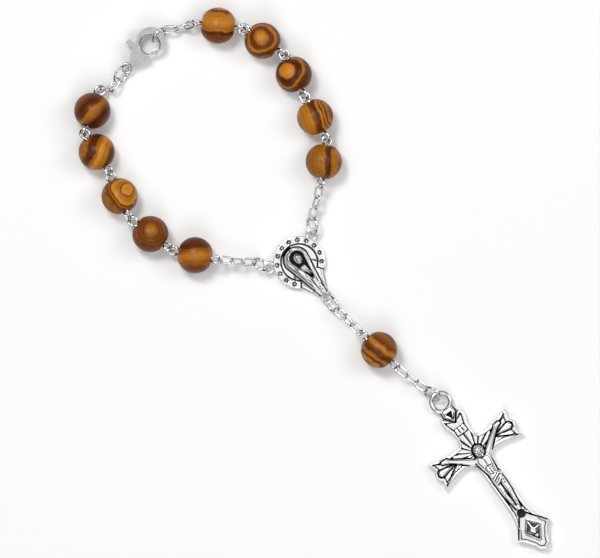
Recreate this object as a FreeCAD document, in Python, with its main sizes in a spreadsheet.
import FreeCAD, Part
import math
import os
import Sketcher
from FreeCAD import Matrix, Placement, Rotation, Vector

# One-decade rosary lying on a table: +X right, +Y away, +Z up, millimetres.
doc = FreeCAD.newDocument("rosary")
sheet = doc.addObject("Spreadsheet::Sheet", "Dims")

DIMENSIONS = [
    ("bead_radius", 4.0),
    ("bead_half_length", 3.65),
    ("bore_radius", 0.85),
    ("bore_mouth_radius", 1.05),
    ("bore_mouth_depth", 0.3),
    ("pin_wire_radius", 0.325),
    ("pin_loop_radius", 1.15),
    ("pin_loop_centre", 4.85),
    ("pin_leg_offset", 0.36),
    ("pin_neck_radius", 1.0),
    ("pin_crank_start", 1.6),
    ("pin_crank_radius", 0.8),
    ("pin_tail_start", 2.6),
    ("link_wire_radius", 0.25),
    ("link_end_radius", 0.85),
    ("link_half_length", 1.6),
    ("ring_wire_radius", 0.3),
    ("ring_radius", 2.05),
    ("ring_closed_angle", 357),
    ("eyelet_radius", 1.15),
    ("eyelet_wire_radius", 0.25),
    ("eyelet_height", 1.4),
    ("medal_radius", 5.8),
    ("medal_thickness", 2.0),
    ("medal_recess_radius", 4.0),
    ("medal_recess_depth", 0.7),
    ("medal_shoulder_reach", 6.75),
    ("medal_shoulder_angle", 62),
    ("medal_foot_reach", 9.85),
    ("medal_star_radius", 0.32),
    ("medal_star_height", 0.25),
    ("figure_height", 0.9),
    ("clasp_thickness", 1.7),
    ("clasp_eye_radius", 1.0),
    ("clasp_eye_wire_radius", 0.25),
    ("clasp_bow_x", 7.9),
    ("clasp_bow_y", 0.6),
    ("clasp_bow_radius", 3.1),
    ("clasp_mouth_x", 7.25),
    ("clasp_mouth_y", 0.25),
    ("clasp_mouth_radius", 2.15),
    ("clasp_slot_width", 1.06),
    ("lever_pivot_x", 4.3),
    ("lever_pivot_y", -0.6),
    ("lever_thickness", 0.9),
    ("lever_hub_radius", 0.95),
    ("lever_bore_radius", 0.46),
    ("lever_reach", 3.3),
    ("nose_reach", 3.45),
    ("slot_well_radius", 1.9),
    ("slot_tab_reach", 7.0),
    ("clasp_round", 0.35),
    ("rivet_radius", 0.4),
    ("rivet_head_radius", 0.62),
    ("rivet_head_height", 0.15),
    ("spring_thickness", 0.16),
    ("spring_width", 0.8),
    ("bail_radius", 2.1),
    ("bail_wire_radius", 0.55),
    ("bail_height", 1.5),
    ("cross_thickness", 1.8),
    ("cross_rim_height", 0.5),
    ("corpus_head_radius", 1.25),
    ("corpus_height", 1.2),
]

for row, (alias, value) in enumerate(DIMENSIONS, start=1):
    sheet.set("A%d" % row, alias)
    sheet.set("B%d" % row, repr(value))
    sheet.setAlias("B%d" % row, alias)
doc.recompute()


def size(alias):
    return float(sheet.get(alias))


def bind(item, prop, expression):
    item.setExpression(prop, expression)


# ------------------------------------------------------------------ sketching


def plane_of(body, role):
    for feature in body.Origin.OriginFeatures:
        if feature.Role == role:
            return feature
    raise ValueError(role)


def sketch_on(body, name, role, turn=None, lift=0.0):
    sketch = body.newObject("Sketcher::SketchObject", name)
    sketch.AttachmentSupport = (plane_of(body, role), [""])
    sketch.MapMode = "FlatFace"
    if turn is not None or lift:
        sketch.AttachmentOffset = Placement(Vector(0, 0, lift), turn or Rotation())
    return sketch


def draw_loop(sketch, points):
    """Closed outline of straight lines through (x, y) points."""
    count = len(points)
    for i in range(count):
        a = points[i]
        b = points[(i + 1) % count]
        sketch.addGeometry(Part.LineSegment(Vector(a[0], a[1], 0), Vector(b[0], b[1], 0)))
    for i in range(count):
        sketch.addConstraint(Sketcher.Constraint("Coincident", i, 2, (i + 1) % count, 1))


def draw_circle(sketch, x, y, radius_alias):
    """Circle at a fixed place whose radius follows the sheet."""
    circle = Part.Circle(Vector(x, y, 0), Vector(0, 0, 1), size(radius_alias))
    index = sketch.addGeometry(circle)
    sketch.addConstraint(Sketcher.Constraint("DistanceX", -1, 1, index, 3, x))
    sketch.addConstraint(Sketcher.Constraint("DistanceY", -1, 1, index, 3, y))
    radius = sketch.addConstraint(Sketcher.Constraint("Radius", index, size(radius_alias)))
    bind(sketch, "Constraints[%d]" % radius, "Dims." + radius_alias)
    return index


def pad(body, sketch, name, alias, midplane=False, reverse=False):
    feature = body.newObject("PartDesign::Pad", name)
    feature.Profile = sketch
    feature.Length = size(alias)
    bind(feature, "Length", "Dims." + alias)
    feature.Midplane = midplane
    feature.Reversed = reverse
    return feature


def pocket(body, sketch, name, alias=None, midplane=False, reverse=False):
    feature = body.newObject("PartDesign::Pocket", name)
    feature.Profile = sketch
    if alias is None:
        feature.Type = "ThroughAll"
    else:
        feature.Length = size(alias)
        bind(feature, "Length", "Dims." + alias)
    feature.Midplane = midplane
    feature.Reversed = reverse
    return feature


def new_body(name):
    body = doc.addObject("PartDesign::Body", name)
    body.Label = name
    return body


def torus_at(body, name, x, z, radius_alias, wire_alias, y=0.0):
    """Ring lying flat with its centre at (x, y, z)."""
    ring = body.newObject("PartDesign::AdditiveTorus", name)
    ring.AttachmentSupport = (plane_of(body, "XY_Plane"), [""])
    ring.MapMode = "FlatFace"
    ring.AttachmentOffset = Placement(Vector(x, y, z), Rotation())
    ring.Radius1 = size(radius_alias)
    ring.Radius2 = size(wire_alias)
    bind(ring, "Radius1", "Dims." + radius_alias)
    bind(ring, "Radius2", "Dims." + wire_alias)
    return ring


def arc(centre_x, centre_y, radius, start_degrees, end_degrees):
    circle = Part.Circle(Vector(centre_x, centre_y, 0), Vector(0, 0, 1), radius)
    return Part.ArcOfCircle(circle, math.radians(start_degrees), math.radians(end_degrees))


def polar(centre_x, centre_y, radius, degrees):
    angle = math.radians(degrees)
    return Vector(centre_x + radius * math.cos(angle), centre_y + radius * math.sin(angle), 0)


def draw_sector(sketch, centre_x, centre_y, inner, outer, start, end):
    """Ring sector between two radii and two angles, or a plain sector when inner is zero."""
    outer_arc = sketch.addGeometry(arc(centre_x, centre_y, outer, start, end))
    near_start = polar(centre_x, centre_y, inner, start)
    near_end = polar(centre_x, centre_y, inner, end)
    side = sketch.addGeometry(Part.LineSegment(polar(centre_x, centre_y, outer, end), near_end))
    sketch.addConstraint(Sketcher.Constraint("Coincident", outer_arc, 2, side, 1))
    back = sketch.addGeometry(Part.LineSegment(near_start, polar(centre_x, centre_y, outer, start)))
    sketch.addConstraint(Sketcher.Constraint("Coincident", back, 2, outer_arc, 1))
    if inner:
        inner_arc = sketch.addGeometry(arc(centre_x, centre_y, inner, start, end))
        sketch.addConstraint(Sketcher.Constraint("Coincident", side, 2, inner_arc, 2))
        sketch.addConstraint(Sketcher.Constraint("Coincident", inner_arc, 1, back, 1))
    else:
        sketch.addConstraint(Sketcher.Constraint("Coincident", side, 2, back, 1))


# ---------------------------------------------------------------------- beads


def make_bead(name):
    """Turned wooden ball, cut flat at both bore mouths, on its own X axis."""
    body = new_body(name)
    profile = sketch_on(body, name + "_profile", "XY_Plane")
    half = size("bead_half_length")
    radius = size("bead_radius")
    bore = size("bore_radius")
    mouth = size("bore_mouth_radius")
    depth = size("bore_mouth_depth")
    rim = math.sqrt(radius ** 2 - half ** 2)
    turn = math.degrees(math.atan2(rim, half))
    corners = [(-half, rim), (-half, mouth), (-half + depth, bore)]
    corners += [(half - depth, bore), (half, mouth), (half, rim)]
    for i in range(5):
        a = corners[i]
        b = corners[i + 1]
        profile.addGeometry(Part.LineSegment(Vector(a[0], a[1], 0), Vector(b[0], b[1], 0)))
    profile.addGeometry(arc(0, 0, radius, turn, 180 - turn))
    for i in range(4):
        profile.addConstraint(Sketcher.Constraint("Coincident", i, 2, i + 1, 1))
    profile.addConstraint(Sketcher.Constraint("Coincident", 4, 2, 5, 1))
    profile.addConstraint(Sketcher.Constraint("Coincident", 5, 2, 0, 1))
    profile.addConstraint(Sketcher.Constraint("Coincident", 5, 3, -1, 1))
    profile.addConstraint(Sketcher.Constraint("Vertical", 0))
    profile.addConstraint(Sketcher.Constraint("Vertical", 4))
    profile.addConstraint(Sketcher.Constraint("Symmetric", 0, 2, 4, 1, -2))
    profile.addConstraint(Sketcher.Constraint("Symmetric", 1, 2, 3, 1, -2))
    driven = [
        (Sketcher.Constraint("Radius", 5, radius), "Dims.bead_radius"),
        (Sketcher.Constraint("DistanceX", -1, 1, 4, 2, half), "Dims.bead_half_length"),
        (Sketcher.Constraint("DistanceY", -1, 1, 2, 1, bore), "Dims.bore_radius"),
        (Sketcher.Constraint("DistanceY", -1, 1, 4, 1, mouth), "Dims.bore_mouth_radius"),
        (Sketcher.Constraint("DistanceX", 3, 1, 4, 1, depth), "Dims.bore_mouth_depth"),
    ]
    for constraint, expression in driven:
        index = profile.addConstraint(constraint)
        bind(profile, "Constraints[%d]" % index, expression)
    ball = body.newObject("PartDesign::Revolution", name + "_ball")
    ball.Profile = profile
    ball.ReferenceAxis = (profile, ["H_Axis"])
    ball.Angle = 360
    return body


# ------------------------------------------------------------------- eye pins


def draw_eye(sketch):
    """Centre line of half an eye pin: shaft, crank to one side, round eye, tucked-in tail."""
    centre = size("pin_loop_centre")
    loop = size("pin_loop_radius")
    leg = size("pin_leg_offset")
    neck = size("pin_neck_radius")
    crank = size("pin_crank_radius")
    start = size("pin_crank_start")
    tail = size("pin_tail_start")
    bend = math.degrees(math.acos(1 - leg / (2 * crank)))
    crank_end = start + 2 * crank * math.sin(math.radians(bend))
    neck_x = centre - math.sqrt((loop + neck) ** 2 - (leg + neck) ** 2)
    lean = math.degrees(math.atan2(leg + neck, centre - neck_x))
    sketch.addGeometry(Part.LineSegment(Vector(0, 0, 0), Vector(start, 0, 0)))
    sketch.addGeometry(arc(start, crank, crank, -90, -90 + bend))
    sketch.addGeometry(arc(crank_end, leg - crank, crank, 90, 90 + bend))
    sketch.addGeometry(Part.LineSegment(Vector(crank_end, leg, 0), Vector(neck_x, leg, 0)))
    sketch.addGeometry(arc(neck_x, leg + neck, neck, -90, -lean))
    sketch.addGeometry(arc(centre, 0, loop, -180 + lean, 180 - lean))
    sketch.addGeometry(arc(neck_x, -leg - neck, neck, lean, 90))
    sketch.addGeometry(Part.LineSegment(Vector(neck_x, -leg, 0), Vector(tail, -leg, 0)))
    joins = [(0, 2, 1, 1), (1, 2, 2, 2), (2, 1, 3, 1), (3, 2, 4, 1), (4, 2, 5, 2), (5, 1, 6, 1), (6, 2, 7, 1)]
    for first, first_end, second, second_end in joins:
        sketch.addConstraint(Sketcher.Constraint("Tangent", first, first_end, second, second_end))
    sketch.addConstraint(Sketcher.Constraint("Coincident", 0, 1, -1, 1))
    for line in (0, 3, 7):
        sketch.addConstraint(Sketcher.Constraint("Horizontal", line))
    sketch.addConstraint(Sketcher.Constraint("PointOnObject", 5, 3, -1))
    sketch.addConstraint(Sketcher.Constraint("Equal", 1, 2))
    sketch.addConstraint(Sketcher.Constraint("Equal", 4, 6))
    driven = [
        (Sketcher.Constraint("DistanceX", -1, 1, 0, 2, start), "Dims.pin_crank_start"),
        (Sketcher.Constraint("Radius", 1, crank), "Dims.pin_crank_radius"),
        (Sketcher.Constraint("DistanceY", -1, 1, 3, 1, leg), "Dims.pin_leg_offset"),
        (Sketcher.Constraint("DistanceY", 7, 1, -1, 1, leg), "Dims.pin_leg_offset"),
        (Sketcher.Constraint("Radius", 4, neck), "Dims.pin_neck_radius"),
        (Sketcher.Constraint("DistanceX", -1, 1, 5, 3, centre), "Dims.pin_loop_centre"),
        (Sketcher.Constraint("Radius", 5, loop), "Dims.pin_loop_radius"),
        (Sketcher.Constraint("DistanceX", -1, 1, 7, 2, tail), "Dims.pin_tail_start"),
    ]
    for constraint, expression in driven:
        index = sketch.addConstraint(constraint)
        bind(sketch, "Constraints[%d]" % index, expression)


def make_pin(name, twist):
    """Eye pin on its X axis. The second eye's plane is turned by twist degrees from the first's."""
    body = new_body(name)
    x_axis = Vector(1, 0, 0)
    half_turn = Rotation(Vector(0, 0, 1), 180)
    turns = [("near", half_turn), ("far", Rotation(x_axis, twist))]
    for label, turn in turns:
        path = sketch_on(body, name + "_" + label + "_path", "XY_Plane", turn)
        draw_eye(path)
        wire = sketch_on(body, name + "_" + label + "_wire", "YZ_Plane")
        draw_circle(wire, 0, 0, "pin_wire_radius")
        pipe = body.newObject("PartDesign::AdditivePipe", name + "_" + label)
        pipe.Profile = wire
        pipe.Spine = (path, ["Edge%d" % (i + 1) for i in range(8)])
    return body


# ------------------------------------------------------------ links and rings


def make_link(name):
    """Small oval chain link, long way on X, lying in its XY plane."""
    body = new_body(name)
    radius = size("link_end_radius")
    straight = size("link_half_length") - radius
    path = sketch_on(body, name + "_path", "XY_Plane")
    path.addGeometry(Part.LineSegment(Vector(-straight, radius, 0), Vector(straight, radius, 0)))
    path.addGeometry(arc(straight, 0, radius, -90, 90))
    path.addGeometry(Part.LineSegment(Vector(straight, -radius, 0), Vector(-straight, -radius, 0)))
    path.addGeometry(arc(-straight, 0, radius, 90, 270))
    for first, first_end, second, second_end in [(0, 2, 1, 2), (1, 1, 2, 1), (2, 2, 3, 2), (3, 1, 0, 1)]:
        path.addConstraint(Sketcher.Constraint("Tangent", first, first_end, second, second_end))
    path.addConstraint(Sketcher.Constraint("Symmetric", 1, 3, 3, 3, -1, 1))
    path.addConstraint(Sketcher.Constraint("Horizontal", 0))
    across = path.addConstraint(Sketcher.Constraint("Radius", 1, radius))
    bind(path, "Constraints[%d]" % across, "Dims.link_end_radius")
    along = path.addConstraint(Sketcher.Constraint("DistanceX", -1, 1, 1, 3, straight))
    bind(path, "Constraints[%d]" % along, "Dims.link_half_length - Dims.link_end_radius")
    wire = sketch_on(body, name + "_wire", "YZ_Plane", None, -straight)
    draw_circle(wire, radius, 0, "link_wire_radius")
    pipe = body.newObject("PartDesign::AdditivePipe", name + "_bend")
    pipe.Profile = wire
    pipe.Spine = (path, ["Edge1", "Edge2", "Edge3", "Edge4"])
    return body


def make_ring(name):
    """Round jump ring in its XY plane, cut through on its +Y side."""
    body = new_body(name)
    wire = sketch_on(body, name + "_wire", "YZ_Plane")
    draw_circle(wire, size("ring_radius"), 0, "ring_wire_radius")
    bend = body.newObject("PartDesign::Revolution", name + "_bend")
    bend.Profile = wire
    bend.ReferenceAxis = (wire, ["V_Axis"])
    bend.Angle = size("ring_closed_angle")
    bind(bend, "Angle", "Dims.ring_closed_angle")
    return body


# ---------------------------------------------------------------------- medal


def make_medal():
    """Cast centrepiece lying on its flat back: +X towards the foot eyelet, back face at Z zero."""
    body = new_body("medal")
    thick = size("medal_thickness")
    disc = sketch_on(body, "medal_disc_outline", "XY_Plane")
    draw_circle(disc, 0, 0, "medal_radius")
    pad(body, disc, "medal_disc", "medal_thickness")
    stem = sketch_on(body, "medal_stem_outline", "XY_Plane")
    draw_loop(stem, [(3.4, 3.6), (3.4, -3.6), (8.95, -0.9), (8.95, 0.9)])
    pad(body, stem, "medal_stem", "medal_thickness")
    well = sketch_on(body, "medal_well_outline", "XY_Plane", None, thick)
    draw_circle(well, 0, 0, "medal_recess_radius")
    pocket(body, well, "medal_well", "medal_recess_depth")
    shoulder = math.radians(180 - size("medal_shoulder_angle"))
    reach = size("medal_shoulder_reach")
    height = size("eyelet_height")
    for label, side in (("left", -1), ("right", 1)):
        x = reach * math.cos(shoulder)
        y = side * reach * math.sin(shoulder)
        torus_at(body, "medal_eyelet_" + label, x, height, "eyelet_radius", "eyelet_wire_radius", y)
    foot = size("medal_foot_reach")
    torus_at(body, "medal_eyelet_foot", foot, height, "eyelet_radius", "eyelet_wire_radius")
    floor = thick - size("medal_recess_depth")
    figure = sketch_on(body, "medal_figure_outline", "XY_Plane", None, floor)
    robe = [(-3.4, 0.5), (-2.9, 1.2), (-1.8, 1.5), (-0.8, 1.4), (0.6, 2.2), (3.6, 2.0), (6.5, 1.2), (8.4, 0.7)]
    draw_loop(figure, robe + [(x, -y) for x, y in reversed(robe)])
    pad(body, figure, "medal_figure", "figure_height")
    face = body.newObject("PartDesign::AdditiveSphere", "medal_head")
    face.AttachmentSupport = (plane_of(body, "XY_Plane"), [""])
    face.MapMode = "FlatFace"
    face.AttachmentOffset = Placement(Vector(-2.0, 0, floor + 0.5), Rotation())
    face.Radius = 0.85
    star = sketch_on(body, "medal_star_outline", "XY_Plane", None, thick)
    band = 0.5 * (size("medal_radius") + size("medal_recess_radius"))
    draw_circle(star, band, 0, "medal_star_radius")
    one = pad(body, star, "medal_star", "medal_star_height")
    doc.recompute()
    stars = body.newObject("PartDesign::PolarPattern", "medal_stars")
    stars.Originals = [one]
    stars.Axis = (star, ["N_Axis"])
    stars.Angle = 360
    stars.Occurrences = 14
    body.Tip = stars
    return body


# ---------------------------------------------------------------------- clasp


def round_rims(body, radius_name, round_name):
    """Round the two flat rims of the hole that has the named radius."""
    doc.recompute()
    tip = body.Tip
    rims = []
    for number, edge in enumerate(tip.Shape.Edges, 1):
        radius = getattr(edge.Curve, "Radius", 0)
        flat = edge.BoundBox.ZLength < 0.01
        if flat and abs(radius - size(radius_name)) < 0.001:
            rims.append("Edge%d" % number)
    fillet = body.newObject("PartDesign::Fillet", body.Label + "_round")
    fillet.Base = (tip, rims)
    fillet.Radius = size(round_name)
    bind(fillet, "Radius", "Dims." + round_name)


def make_clasp_body():
    """Lobster clasp casting: tail eye at the origin, hook bow along +X, mid-plane at Z zero."""
    body = new_body("clasp_body")
    bow = sketch_on(body, "clasp_bow_outline", "XY_Plane")
    draw_circle(bow, size("clasp_bow_x"), size("clasp_bow_y"), "clasp_bow_radius")
    pad(body, bow, "clasp_bow", "clasp_thickness", midplane=True)
    shank = sketch_on(body, "clasp_shank_outline", "XY_Plane")
    upper = [(2.4, 1.4), (4.0, 2.4), (6.2, 3.1)]
    lower = [(7.0, -2.1), (4.6, -2.0), (2.4, -1.3)]
    draw_loop(shank, [(1.15, -0.5), (1.15, 0.5)] + upper + lower)
    pad(body, shank, "clasp_shank", "clasp_thickness", midplane=True)
    torus_at(body, "clasp_tail_eye", 0, 0, "clasp_eye_radius", "clasp_eye_wire_radius")
    mouth = sketch_on(body, "clasp_mouth_outline", "XY_Plane")
    draw_circle(mouth, size("clasp_mouth_x"), size("clasp_mouth_y"), "clasp_mouth_radius")
    pocket(body, mouth, "clasp_mouth", None, midplane=True)
    round_rims(body, "clasp_mouth_radius", "clasp_round")
    pivot_x = size("lever_pivot_x")
    pivot_y = size("lever_pivot_y")
    gate = sketch_on(body, "clasp_gate_outline", "XY_Plane")
    draw_sector(gate, pivot_x, pivot_y, 1.35, size("nose_reach"), -78, -2)
    pocket(body, gate, "clasp_gate", None, midplane=True)
    slots = [("well", size("slot_well_radius"), 30, 200)]
    slots += [("side", size("slot_well_radius"), -160, 30)]
    slots += [("tab", size("slot_tab_reach"), 72, 136)]
    for label, outer, start, end in slots:
        slot = sketch_on(body, "clasp_slot_%s_outline" % label, "XY_Plane")
        draw_sector(slot, pivot_x, pivot_y, 0, outer, start, end)
        pocket(body, slot, "clasp_slot_" + label, "clasp_slot_width", midplane=True)
    hole = sketch_on(body, "clasp_rivet_hole_outline", "XY_Plane")
    draw_circle(hole, pivot_x, pivot_y, "rivet_radius")
    pocket(body, hole, "clasp_rivet_hole", None, midplane=True)
    return body


def make_clasp_lever():
    """Gate of the clasp with its thumb tab, in the clasp's own frame, turning about the rivet."""
    body = new_body("clasp_lever")
    pivot_x = size("lever_pivot_x")
    pivot_y = size("lever_pivot_y")
    hub = sketch_on(body, "lever_hub_outline", "XY_Plane")
    draw_circle(hub, pivot_x, pivot_y, "lever_hub_radius")
    pad(body, hub, "lever_hub", "lever_thickness", midplane=True)
    gate = sketch_on(body, "lever_gate_outline", "XY_Plane")
    draw_sector(gate, pivot_x, pivot_y, 0, size("lever_reach"), -36, -16)
    pad(body, gate, "lever_gate", "lever_thickness", midplane=True)
    arm = sketch_on(body, "lever_arm_outline", "XY_Plane")
    draw_loop(arm, [(3.85, -0.6), (4.75, -0.6), (4.75, 3.4), (5.0, 4.3), (3.6, 4.3), (3.85, 3.4)])
    pad(body, arm, "lever_arm", "lever_thickness", midplane=True)
    bore = sketch_on(body, "lever_bore_outline", "XY_Plane")
    draw_circle(bore, pivot_x, pivot_y, "lever_bore_radius")
    pocket(body, bore, "lever_bore", None, midplane=True)
    return body


def make_clasp_rivet():
    """Rivet through both cheeks of the clasp, headed on each side."""
    body = new_body("clasp_rivet")
    pivot_x = size("lever_pivot_x")
    pivot_y = size("lever_pivot_y")
    shaft = sketch_on(body, "rivet_shaft_outline", "XY_Plane")
    draw_circle(shaft, pivot_x, pivot_y, "rivet_radius")
    pad(body, shaft, "rivet_shaft", "clasp_thickness", midplane=True)
    half = 0.5 * size("clasp_thickness")
    for label, lift, reverse in (("upper", half, False), ("lower", -half, True)):
        head = sketch_on(body, "rivet_%s_outline" % label, "XY_Plane", None, lift)
        draw_circle(head, pivot_x, pivot_y, "rivet_head_radius")
        pad(body, head, "rivet_" + label, "rivet_head_height", reverse=reverse)
    return body


def make_clasp_spring():
    """Curved leaf seated against the back of the clasp's well, pushing on the thumb arm."""
    body = new_body("clasp_spring")
    outer = size("slot_well_radius")
    leaf = sketch_on(body, "spring_outline", "XY_Plane")
    inner = outer - size("spring_thickness")
    draw_sector(leaf, size("lever_pivot_x"), size("lever_pivot_y"), inner, outer, 112, 196)
    pad(body, leaf, "spring_leaf", "spring_width", midplane=True)
    return body


# ------------------------------------------------------------------- crucifix


def make_crucifix():
    """Cast cross with its figure: bail ring centred on the origin, foot along +X, back at Z zero."""
    body = new_body("crucifix")
    half = [(4.5, 0.6), (3.2, 2.6), (5.4, 2.9), (8.4, 2.1), (10.6, 2.2), (10.2, 6.4), (9.6, 10.5), (12.0, 9.6)]
    half += [(13.8, 9.6), (16.2, 10.5), (15.2, 6.4), (15.2, 2.2), (30.0, 2.1), (35.0, 4.3), (36.6, 2.4), (39.8, 0.4)]
    outline = sketch_on(body, "cross_outline", "XY_Plane")
    draw_loop(outline, half + [(x, -y) for x, y in reversed(half)])
    pad(body, outline, "cross_plate", "cross_thickness")
    rim = sketch_on(body, "cross_rim_outline", "XY_Plane", None, size("cross_thickness"))
    draw_loop(rim, half + [(x, -y) for x, y in reversed(half)])
    panels = [
        [(8.0, -1.4), (8.0, 1.4), (29.0, 1.4), (29.0, -1.4)],
        [(11.0, 2.4), (11.0, 6.2), (10.6, 9.4), (15.4, 9.4), (14.7, 6.2), (14.7, 2.4)],
        [(30.2, -1.5), (30.2, 1.5), (34.6, 3.5), (37.8, 1.0), (37.8, -1.0), (34.6, -3.5)],
    ]
    pad(body, rim, "cross_rim", "cross_rim_height")
    mirrored = [(x, -y) for x, y in reversed(panels[1])]
    lift = size("cross_thickness") + size("cross_rim_height")
    for i, panel in enumerate(panels + [mirrored]):
        recess = sketch_on(body, "cross_recess_%d_outline" % (i + 1), "XY_Plane", None, lift)
        draw_loop(recess, panel)
        pocket(body, recess, "cross_recess_%d" % (i + 1), "cross_rim_height")
    torus_at(body, "cross_bail", 0, size("bail_height"), "bail_radius", "bail_wire_radius")
    neck = sketch_on(body, "cross_neck_outline", "XY_Plane")
    draw_loop(neck, [(1.8, -1.4), (1.8, 1.4), (4.4, 1.5), (5.8, 1.0), (5.8, -1.0), (4.4, -1.5)])
    pad(body, neck, "cross_neck", "cross_thickness")
    floor = size("cross_thickness")
    figure = [
        ("torso", [(14.6, -1.5), (14.6, 1.7), (17.6, 1.3), (20.0, 1.0), (20.0, -0.8), (17.6, -1.1)]),
        ("cloth", [(19.8, -0.95), (19.8, 1.3), (22.6, 1.2), (22.6, -0.9)]),
        ("legs", [(22.4, -0.85), (22.4, 1.1), (25.0, 1.0), (29.2, 0.6), (29.2, -0.4), (25.0, -0.6)]),
        ("left_arm", [(14.9, 1.3), (11.0, 7.0), (11.6, 7.5), (16.0, 1.2)]),
        ("right_arm", [(14.9, -1.3), (16.0, -1.2), (11.6, -7.5), (11.0, -7.0)]),
    ]
    for label, points in figure:
        limb = sketch_on(body, "corpus_%s_outline" % label, "XY_Plane", None, floor)
        draw_loop(limb, points)
        pad(body, limb, "corpus_" + label, "corpus_height")
    head = body.newObject("PartDesign::AdditiveSphere", "corpus_head")
    head.AttachmentSupport = (plane_of(body, "XY_Plane"), [""])
    head.MapMode = "FlatFace"
    head.AttachmentOffset = Placement(Vector(13.5, 0.4, floor + 0.6), Rotation())
    bind(head, "Radius", "Dims.corpus_head_radius")
    return body


# -------------------------------------------------------- how the chain lies
#
# Each run starts at an eyelet of the medal. A row is: name, kind, heading and
# slope of the piece in degrees, reach from the loop before it to its own first
# loop, and the twist between its two loops. A slope of None lets the bead rest
# on the table. Every loop stands square to the loop it hooks, which is how two
# wires pull against each other; the rings in the flat eyelets lean instead.

EYELET_LEAN = 30
LEFT_RUN = [
    ("left_shoulder_ring", "ring", 160, 20, 2.1, 0),
    ("left_link_1", "link", 180, 14, 2.15, 0),
    ("left_link_2", "link", 176, 12, 1.1, 0),
    ("left_link_3", "link", 172, 12, 1.1, 0),
    ("left_pin_1", "pin", 168, None, 1.35, 90),
    ("left_pin_2", "pin", 144, None, 1.5, 90),
    ("left_pin_3", "pin", 114, None, 1.5, 90),
    ("left_pin_4", "pin", 123, None, 1.5, 90),
    ("left_pin_5", "pin", 70, None, 0.85, 84),
    ("tail_link_1", "link", 6, -14, 0.85, 0),
    ("tail_link_2", "link", 60, -2, 0.8, 0),
    ("tail_ring", "ring", 54, 0, 2.0, 0),
]
RIGHT_RUN = [
    ("right_shoulder_ring", "ring", 87, 20, 2.1, 0),
    ("right_link_1", "link", 78, 14, 2.1, 0),
    ("right_link_2", "link", 74, 12, 1.0, 0),
    ("right_link_3", "link", 80, 12, 1.0, 0),
    ("right_pin_1", "pin", 82, None, 1.1, 90),
    ("right_pin_2", "pin", 118, None, 0.8, 90),
    ("right_pin_3", "pin", 116, None, 0.8, 90),
    ("right_pin_4", "pin", 148, None, 0.8, 90),
    ("right_pin_5", "pin", 173, None, 0.9, 0),
    ("end_link_1", "link", 200, -30, 0.8, 0),
    ("end_link_2", "link", 196, -12, 0.8, 0),
    ("end_link_3", "link", 182, 0, 0.95, 0),
    ("closing_ring", "ring", 228, 0, 2.2, 0),
]
PENDANT_RUN = [
    ("pendant_ring", "ring", -52, 20, 2.1, 0),
    ("pendant_link_1", "link", -38, 14, 2.05, 0),
    ("pendant_link_2", "link", -45, 12, 1.0, 0),
    ("pendant_link_3", "link", -48, 12, 1.0, 0),
    ("pendant_pin", "pin", -44, None, 1.3, 0),
    ("drop_link_1", "link", -36, -8, 1.38, 0),
    ("drop_link_2", "link", -38, -10, 1.16, 0),
    ("drop_link_3", "link", -35, -10, 1.16, 0),
    ("drop_ring", "ring", -40, -11, 2.28, 0),
]
MEDAL_HEADING = -52
CLASP_EYE_HEADING = 48
CLASP_EYE_SLOPE = -10
CLASP_EYE_REACH = 1.9
CRUCIFIX_HEADING = -54
BAIL_HEADING = -44
BAIL_SLOPE = -10
BAIL_REACH = 2.65

LOOP_CENTRE = {
    "ring": 0.0,
    "link": size("link_half_length") - size("link_end_radius"),
    "pin": size("pin_loop_centre"),
}
UP = Vector(0, 0, 1)


def direction(heading, slope):
    heading = math.radians(heading)
    slope = math.radians(slope)
    level = math.cos(slope)
    return Vector(level * math.cos(heading), level * math.sin(heading), math.sin(slope))


def square_to(along, normal):
    """Unit vector: what is left of one direction in the plane square to another."""
    flat = along - normal * along.dot(normal)
    return flat.normalize()


def frame_at(centre, along, normal):
    """Placement with X along the piece and Z square to its first loop."""
    across = normal.cross(along)
    matrix = Matrix(
        along.x, across.x, normal.x, 0,
        along.y, across.y, normal.y, 0,
        along.z, across.z, normal.z, 0,
    )
    return Placement(centre, Placement(matrix).Rotation)


def hook_on(loop_centre, loop_normal, row, lean=None):
    """Lay one piece so that its first loop hooks the loop it follows."""
    name, kind, heading, slope, reach, twist = row
    along = direction(heading, slope)
    if lean is None:
        step = square_to(along, loop_normal)
        normal = loop_normal.cross(step)
    else:
        step = along
        normal = Rotation(along, lean).multVec(UP.cross(along).normalize())
    centre = loop_centre + step * reach + along * LOOP_CENTRE[kind]
    last_normal = Rotation(along, twist).multVec(normal)
    return {
        "name": name,
        "kind": kind,
        "centre": centre,
        "along": along,
        "normal": normal,
        "last_normal": last_normal,
        "last_loop": centre + along * LOOP_CENTRE[kind],
        "twist": twist,
    }


def resting_slope(loop_centre, loop_normal, row):
    """Slope at which the bead on this pin just touches the table, by halving."""
    name, kind, heading, slope, reach, twist = row
    low = -40.0
    high = 40.0
    for _ in range(40):
        middle = 0.5 * (low + high)
        trial = hook_on(loop_centre, loop_normal, (name, kind, heading, middle, reach, twist))
        if trial["centre"].z > size("bead_radius"):
            high = middle
        else:
            low = middle
    return 0.5 * (low + high)


def lay_run(eyelet, run, lean):
    pieces = []
    loop_centre = eyelet
    loop_normal = UP
    for row in run:
        if row[3] is None:
            row = row[:3] + (resting_slope(loop_centre, loop_normal, row),) + row[4:]
        piece = hook_on(loop_centre, loop_normal, row, lean)
        pieces.append(piece)
        loop_centre = piece["last_loop"]
        loop_normal = piece["last_normal"]
        lean = None
    return pieces


# ------------------------------------------------------------------- assembly

nodes = {}


def add_node(body, placement):
    body.Placement = placement
    nodes[body.Label] = body


def eyelet_place(reach, angle):
    spot = direction(MEDAL_HEADING + angle, 0) * reach
    return spot + UP * size("eyelet_height")


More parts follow.
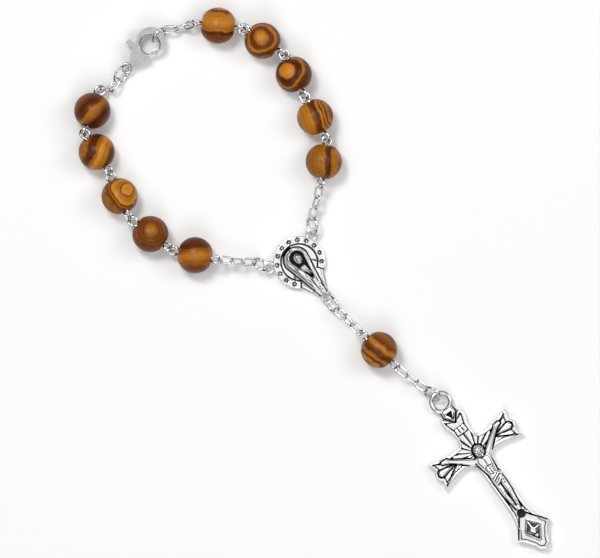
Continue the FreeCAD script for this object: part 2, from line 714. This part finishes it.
shoulder_turn = 180 - size("medal_shoulder_angle")
left_run = lay_run(eyelet_place(size("medal_shoulder_reach"), -shoulder_turn), LEFT_RUN, -EYELET_LEAN)
right_run = lay_run(eyelet_place(size("medal_shoulder_reach"), shoulder_turn), RIGHT_RUN, EYELET_LEAN)
pendant_run = lay_run(eyelet_place(size("medal_foot_reach"), 0), PENDANT_RUN, -EYELET_LEAN)

MAKERS = {"ring": make_ring, "link": make_link}
for piece in left_run + right_run + pendant_run:
    place = frame_at(piece["centre"], piece["along"], piece["normal"])
    if piece["kind"] == "pin":
        add_node(make_pin(piece["name"], piece["twist"]), place)
        add_node(make_bead(piece["name"].replace("pin", "bead")), place)
    else:
        add_node(MAKERS[piece["kind"]](piece["name"]), place)

add_node(make_medal(), Placement(Vector(0, 0, 0), Rotation(UP, MEDAL_HEADING)))

tail_eye = left_run[-1]["centre"] + direction(CLASP_EYE_HEADING, CLASP_EYE_SLOPE) * CLASP_EYE_REACH
hooked_wire = right_run[-1]["centre"] + right_run[-1]["along"] * size("ring_radius")
to_hook = hooked_wire - tail_eye
clasp_heading = math.degrees(math.atan2(to_hook.y, to_hook.x))
clasp_slope = math.degrees(math.asin(to_hook.z / to_hook.Length))
clasp_along = direction(clasp_heading, clasp_slope)
clasp_place = frame_at(tail_eye, clasp_along, square_to(UP, clasp_along))
for maker in (make_clasp_body, make_clasp_lever, make_clasp_rivet, make_clasp_spring):
    add_node(maker(), clasp_place)

bail = pendant_run[-1]["centre"] + direction(BAIL_HEADING, BAIL_SLOPE) * BAIL_REACH
bail.z = 0
add_node(make_crucifix(), Placement(bail, Rotation(UP, CRUCIFIX_HEADING)))

doc.recompute()

# The origin is the middle of the whole lay-out, on the table.
whole = FreeCAD.BoundBox()
for body in nodes.values():
    whole.add(body.Shape.optimalBoundingBox(False, False))
shift = Vector(-whole.Center.x, -whole.Center.y, -whole.ZMin)
for body in nodes.values():
    body.Placement = Placement(shift, Rotation()).multiply(body.Placement)
doc.recompute()

# --------------------------------------------------------------------- checks

for item in doc.Objects:
    bad = [word for word in item.State if word in ("Invalid", "Error")]
    if bad:
        raise RuntimeError("%s is %s" % (item.Name, bad))
for label, body in nodes.items():
    if body.Shape.isNull() or not body.Shape.isValid() or len(body.Shape.Solids) != 1:
        raise RuntimeError("%s has a bad shape" % label)

os.makedirs("parts", exist_ok=True)
for label, body in nodes.items():
    body.Shape.exportStep("parts/%s.step" % label)
print("%d nodes, box %.2f x %.2f x %.2f mm" % (len(nodes), whole.XLength, whole.YLength, whole.ZLength))
